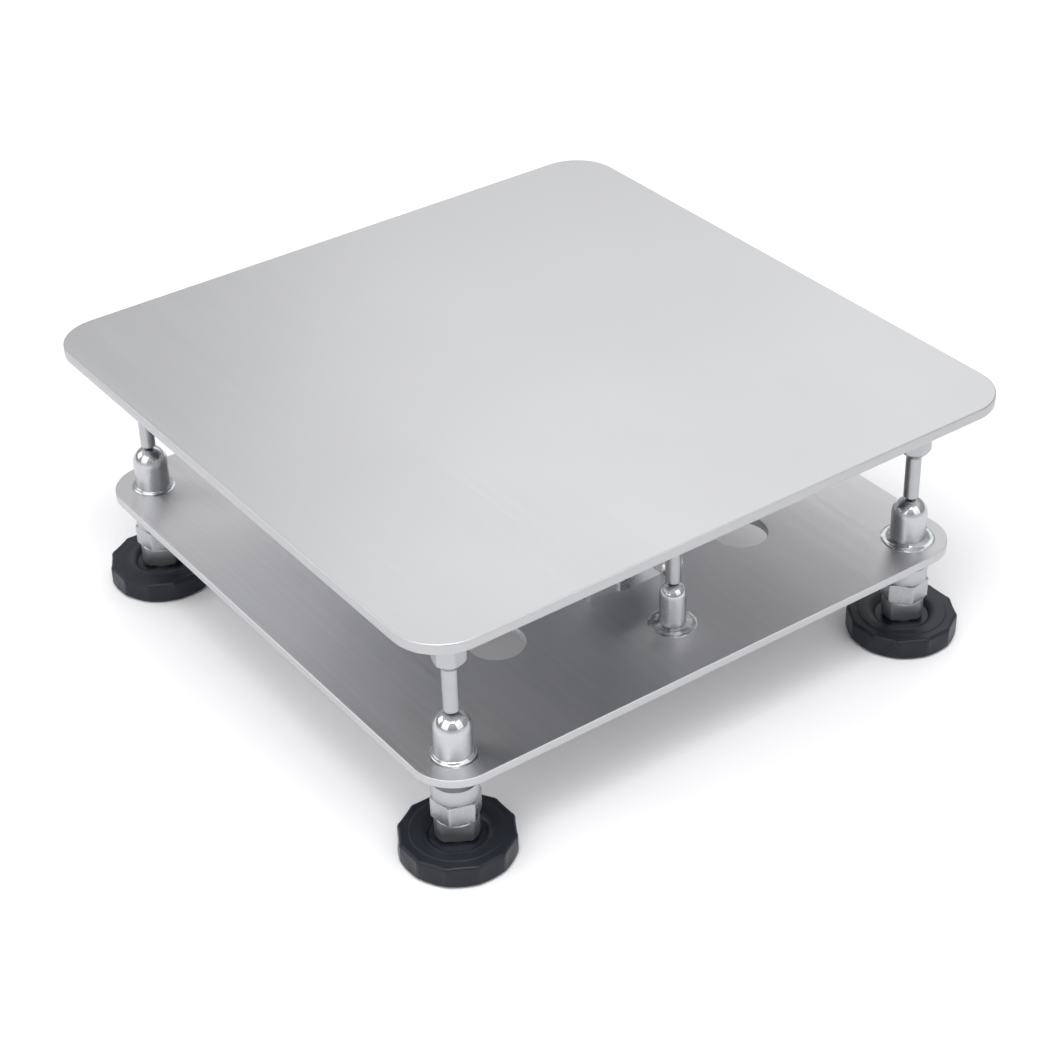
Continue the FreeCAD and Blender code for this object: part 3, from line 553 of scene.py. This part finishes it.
for corner in CORNERS:
    stop_post(corner)
    dome(f"foot_dome_{corner}", CORNER_DOME, CORNER_BORE)
for side in MIDDLES:
    stop_post(side)
    dome(f"stop_dome_{side}", MIDDLE_DOME)
beads = [weld(c, f"foot_dome_{c}", CORNER_DOME, CORNER_BEAD, "corner_welds")
         for c in ("front_right", "rear_right")]
beads += [weld(c, f"foot_dome_{c}", CORNER_DOME, SMALL_BEAD, "corner_welds", 0.05)
          for c in ("front_left", "rear_left")]
for bead in beads:
    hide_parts("corner_welds")
for side in MIDDLES:
    bead = weld(side, f"stop_dome_{side}", MIDDLE_DOME, MIDDLE_BEAD, "middle_welds")
    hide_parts("middle_welds")

# Feet ------------------------------------------------------------------------------------------

FREE = 99.0  # a limit that cuts nothing


def thread_limit(phase):
    """A helical thread, started by phase turns."""
    def limit(angle, z):
        turns = (z / PITCH - angle / (2 * math.pi) + phase) % 1.0
        crest = clamp(1.25 - abs(turns - 0.5) * 2.6)
        return THREAD_ROOT + (THREAD_CREST - THREAD_ROOT) * crest if z < 52.0 else FREE
    return limit


def neck_limit(angle, z):
    """Two wrench flats on the neck, below its round shoulder."""
    across = abs(math.cos(angle - math.radians(NECK_TURN)))
    if z > NECK_FLAT_TOP or z < 9.0 or across < 0.05:
        return FREE
    return NECK_FLAT / across


def foot_axis(corner):
    """Where the screw of a foot stands, in metres. All pieces of the foot are turned round it."""
    return column(f"foot_stem_{corner}")[0][:2]


def foot_stem(corner, phase):
    """The foot's retained head, its wrench neck and its thread."""
    stem = f"foot_stem_{corner}"
    axis = foot_axis(corner)
    section = rounded([
        (0.0, 3.4),
        (7.2, 3.4),
        (8.0, 4.2),
        (8.0, 6.0),
        (6.0, 6.0),
        (6.0, NECK_LOW),
        (NECK_RADIUS - 0.6, NECK_LOW),
        (NECK_RADIUS, NECK_LOW + 0.6),
        (NECK_RADIUS, NECK_FLAT_TOP - 0.01),
        (NECK_RADIUS, NECK_FLAT_TOP + 0.02),
        (NECK_RADIUS, THREAD_LOW - 0.5),
        (NECK_RADIUS - 0.5, THREAD_LOW),
        (5.2, THREAD_LOW),
    ], {7: 0.3, 11: 0.3})
    mesh = turn_mesh(section, neck_limit, axis=axis, count=160)
    lower = finish_piece(f"neck_{corner}", mesh, stem)

    step = PITCH / 9
    section = [(5.0, THREAD_LOW - 0.4)]
    section += [(THREAD_CREST, THREAD_LOW + k * step) for k in range(int(THREAD_LONG / step))]
    section += [(5.9, 52.2), (5.9, STEM_TOP - 0.7), (5.2, STEM_TOP), (0.0, STEM_TOP)]
    mesh = turn_mesh(section, thread_limit(phase), axis=axis, count=72)
    upper = finish_piece(f"thread_{corner}", mesh, stem, sharp=50.0)
    for piece in (lower, upper):
        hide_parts(stem)


def lock_nut(corner):
    """A hexagon nut whose chamfers run into its flats."""
    nut = f"lock_nut_{corner}"
    turn = FRONT_RIGHT_NUT_TURN if corner == "front_right" else NUT_TURN
    _, bottom, top = column(nut)
    section = rounded([
        (SCREW_HOLE, bottom + 0.5),
        (6.7, bottom),
        (9.3, bottom),
        (NUT_BLANK, bottom + 0.72),
        (NUT_BLANK, top - 0.72),
        (9.3, top),
        (6.7, top),
        (SCREW_HOLE, top - 0.5),
    ], {2: 0.25, 5: 0.25})
    mesh = turn_mesh(dense(section, 0.16), polygon_limit(6, NUT_FLATS, turn, 0.16),
                     axis=foot_axis(corner), loop=True, angles=sharp_angles(6, turn, 24))
    piece = finish_piece(f"nut_{corner}", mesh, nut, sharp=25.0)
    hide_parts(nut)


def lock_collar(corner):
    collar = f"lock_collar_{corner}"
    _, bottom, top = column(collar)
    section = rounded([
        (SCREW_HOLE, bottom + 0.1),
        (6.3, bottom),
        (COLLAR_RADIUS, bottom),
        (COLLAR_RADIUS, top),
        (6.4, top),
        (SCREW_HOLE, top - 0.3),
    ], {2: 0.35, 3: 0.9}, steps=2)
    mesh = turn_mesh(section, axis=foot_axis(corner), count=128, loop=True)
    piece = finish_piece(f"collar_{corner}", mesh, collar)
    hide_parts(collar)


def foot_pad(corner):
    """A moulded pad: grip flats round a raised disc, which rounds down to the hub recess."""
    pad = f"foot_pad_{corner}"
    _, bottom, top = column(pad)
    crest = top - PAD_STEP
    sector = 360.0 / PAD_GRIPS

    def grips(angle, z):
        """Dished grip flats with narrow lands between them, fading out downwards."""
        offset = (math.degrees(angle) + sector / 2) % sector - sector / 2
        dish = 0.10 * math.cos(math.radians(offset * 7))
        flat = PAD_FLAT / math.cos(math.radians(offset)) - dish
        ease = clamp((abs(offset) - 11.8) / 1.6)
        land = ease * ease * (3 - 2 * ease)
        shape = min(PAD_RADIUS, flat + (PAD_RADIUS - flat) * land)
        fade = clamp((z - bottom - 0.6) / 6.5)
        return PAD_RADIUS + (shape - PAD_RADIUS) * (0.25 + 0.75 * fade)

    def rim(angle, z):
        """The grip flats shrink with the rounded edge, so that it runs round them."""
        depth = clamp(z - (crest - PAD_EDGE), 0.0, PAD_EDGE)
        return grips(angle, z) - (PAD_EDGE - math.sqrt(max(0.0, PAD_EDGE ** 2 - depth * depth)))

    wall = crest - PAD_EDGE - (bottom + 0.9)
    edge = [math.pi / 2 * k / 7 for k in range(1, 8)]
    bowl = [0.95 * k / 9 for k in range(10)]
    section = [(0.0, bottom + 1.4), (22.1, bottom + 1.4), (22.1, bottom), (24.0, bottom)]
    section += [(PAD_RADIUS, bottom + 0.9 + wall * k / 6) for k in range(7)]
    section += [(PAD_RADIUS, crest - PAD_EDGE + PAD_EDGE * math.sin(a)) for a in edge]
    section += [(23.3, crest), (20.2, crest), (20.08, crest + 0.02), (19.62, top - 0.02),
                (19.5, top), (16.6, top)]
    section += [(PAD_MOUTH - PAD_BOWL * math.sin(a), top - PAD_BOWL * (1 - math.cos(a)))
                for a in bowl]
    section += [(11.9, bottom + 7.9), (6.3, bottom + 7.9), (6.3, bottom + 5.8),
                (0.0, bottom + 5.8)]
    mesh = turn_mesh(section, rim, axis=foot_axis(corner), count=480)
    piece = finish_piece(f"pad_{corner}", mesh, pad, sharp=30.0)
    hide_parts(pad)


for i, corner in enumerate(CORNERS):
    foot_stem(corner, 0.37 * i)
    lock_nut(corner)
    lock_collar(corner)
    foot_pad(corner)

# Cable gland -----------------------------------------------------------------------------------

low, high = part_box("gland_nut")
middle = (low + high) / 2
long = (high.y - low.y) / MM
section = rounded([
    (4.7, 0.0),
    (5.5, 0.0),
    (GLAND_RADIUS, 0.3),
    (GLAND_RADIUS, long - 1.4),
    (5.3, long - 0.9),
    (4.45, long),
    (2.6, long),
    (2.6, long - 1.2),
    (4.6, long - 1.6),
], {2: 0.2, 3: 0.2, 5: 0.3})


def knurl(angle, z):
    """Ribs along the nut, between a plain band at each end."""
    rib = abs(math.sin(angle * KNURL_RIBS / 2)) ** 0.7
    plain = z <= 0.9 or z >= long - 1.7
    return GLAND_RADIUS if plain else GLAND_RADIUS - KNURL_DEPTH * (1 - rib)


mesh = turn_mesh(dense(section, 0.25), knurl, count=320, loop=True)
for vertex in mesh.vertices:
    x, y, z = vertex.co
    vertex.co = (middle.x + x, high.y - z, middle.z + y)
nut_piece = finish_piece("gland_cap", mesh, "gland_nut", sharp=25.0)
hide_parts("gland_nut")

# Studio ----------------------------------------------------------------------------------------

floor_mesh = bpy.data.meshes.new("studio_floor")
FLOOR = 8.0  # metres from the middle to each side
floor_mesh.from_pydata([(-FLOOR, -FLOOR, 0), (FLOOR, -FLOOR, 0), (FLOOR, FLOOR, 0),
                        (-FLOOR, FLOOR, 0)], [], [(0, 1, 2, 3)])
floor = bpy.data.objects.new("studio_floor", floor_mesh)
bpy.context.scene.collection.objects.link(floor)
paper = Shader("studio_paper", (0.93, 0.93, 0.935), roughness=0.9, specular_ior_level=0.1)
fibre = paper.noise(paper.place, scale=30.0, detail=3.0)
paper.link(paper.blend(fibre, (0.92, 0.92, 0.925), (0.94, 0.94, 0.945)), "Base Color")
floor_mesh.materials.append(paper.material)

world = bpy.data.worlds.new("studio")
bpy.context.scene.world = world
world.use_nodes = True
tree = world.node_tree
sky = tree.nodes["Background"]
where = tree.nodes.new("ShaderNodeTexCoord")
parts = tree.nodes.new("ShaderNodeSeparateXYZ")
ramp = tree.nodes.new("ShaderNodeValToRGB")
tree.links.new(where.outputs["Generated"], parts.inputs[0])
tree.links.new(parts.outputs["Z"], ramp.inputs["Fac"])
tree.links.new(ramp.outputs["Color"], sky.inputs["Color"])
SKY = ((0.0, 0.60), (0.42, 0.70), (0.65, 1.05), (1.0, 1.2))  # height in the sky, level
for i, (position, level) in enumerate(SKY):
    stop = ramp.color_ramp.elements[i] if i < 2 else ramp.color_ramp.elements.new(position)
    stop.position = position
    stop.color = (level, level, level * 1.012, 1.0)
sky.inputs["Strength"].default_value = 0.74


AIM = (0.0, 0.0, 0.08)
PANELS = (  # name, place and size in metres, power in watts
    ("back_panel", (1.19, 1.11, 1.47), (1.4, 1.3), 4.0),
    ("rear_left_panel", (-1.30, 1.35, 1.10), (1.2, 1.0), 5.6),
    ("rear_right_panel", (1.80, 1.10, 0.75), (0.9, 0.7), 0.7),
    ("key", (-0.45, -0.65, 1.9), (0.9, 0.9), 16.0),
    ("left_window", (-1.25, -0.25, 0.95), (1.1, 1.3), 5.5),
    ("right_window", (0.30, -1.30, 0.95), (1.1, 1.3), 4.5),
)
for name, place, (width, height), power in PANELS:
    light = bpy.data.lights.new(name, "AREA")
    light.shape = "RECTANGLE"
    light.size, light.size_y = width, height
    light.energy = power
    lamp = bpy.data.objects.new(name, light)
    bpy.context.scene.collection.objects.link(lamp)
    lamp.location = place
    lamp.rotation_euler = (Vector(AIM) - Vector(place)).to_track_quat("-Z", "Y").to_euler()

# Camera ----------------------------------------------------------------------------------------

camera_data = bpy.data.cameras.new("photo_camera")
camera_data.lens = 81.92
camera_data.sensor_width = 36.0
camera_data.shift_x = 0.00025
camera_data.shift_y = -0.00345
camera = bpy.data.objects.new("photo_camera", camera_data)
bpy.context.scene.collection.objects.link(camera)
camera.location = (-0.52215, -0.74196, 0.65628)
camera.rotation_euler = Euler([math.radians(a) for a in (55.9902, 1.2734, -36.0645)], "XYZ")
bpy.context.scene.camera = camera
bpy.context.scene.view_settings.view_transform = "Standard"
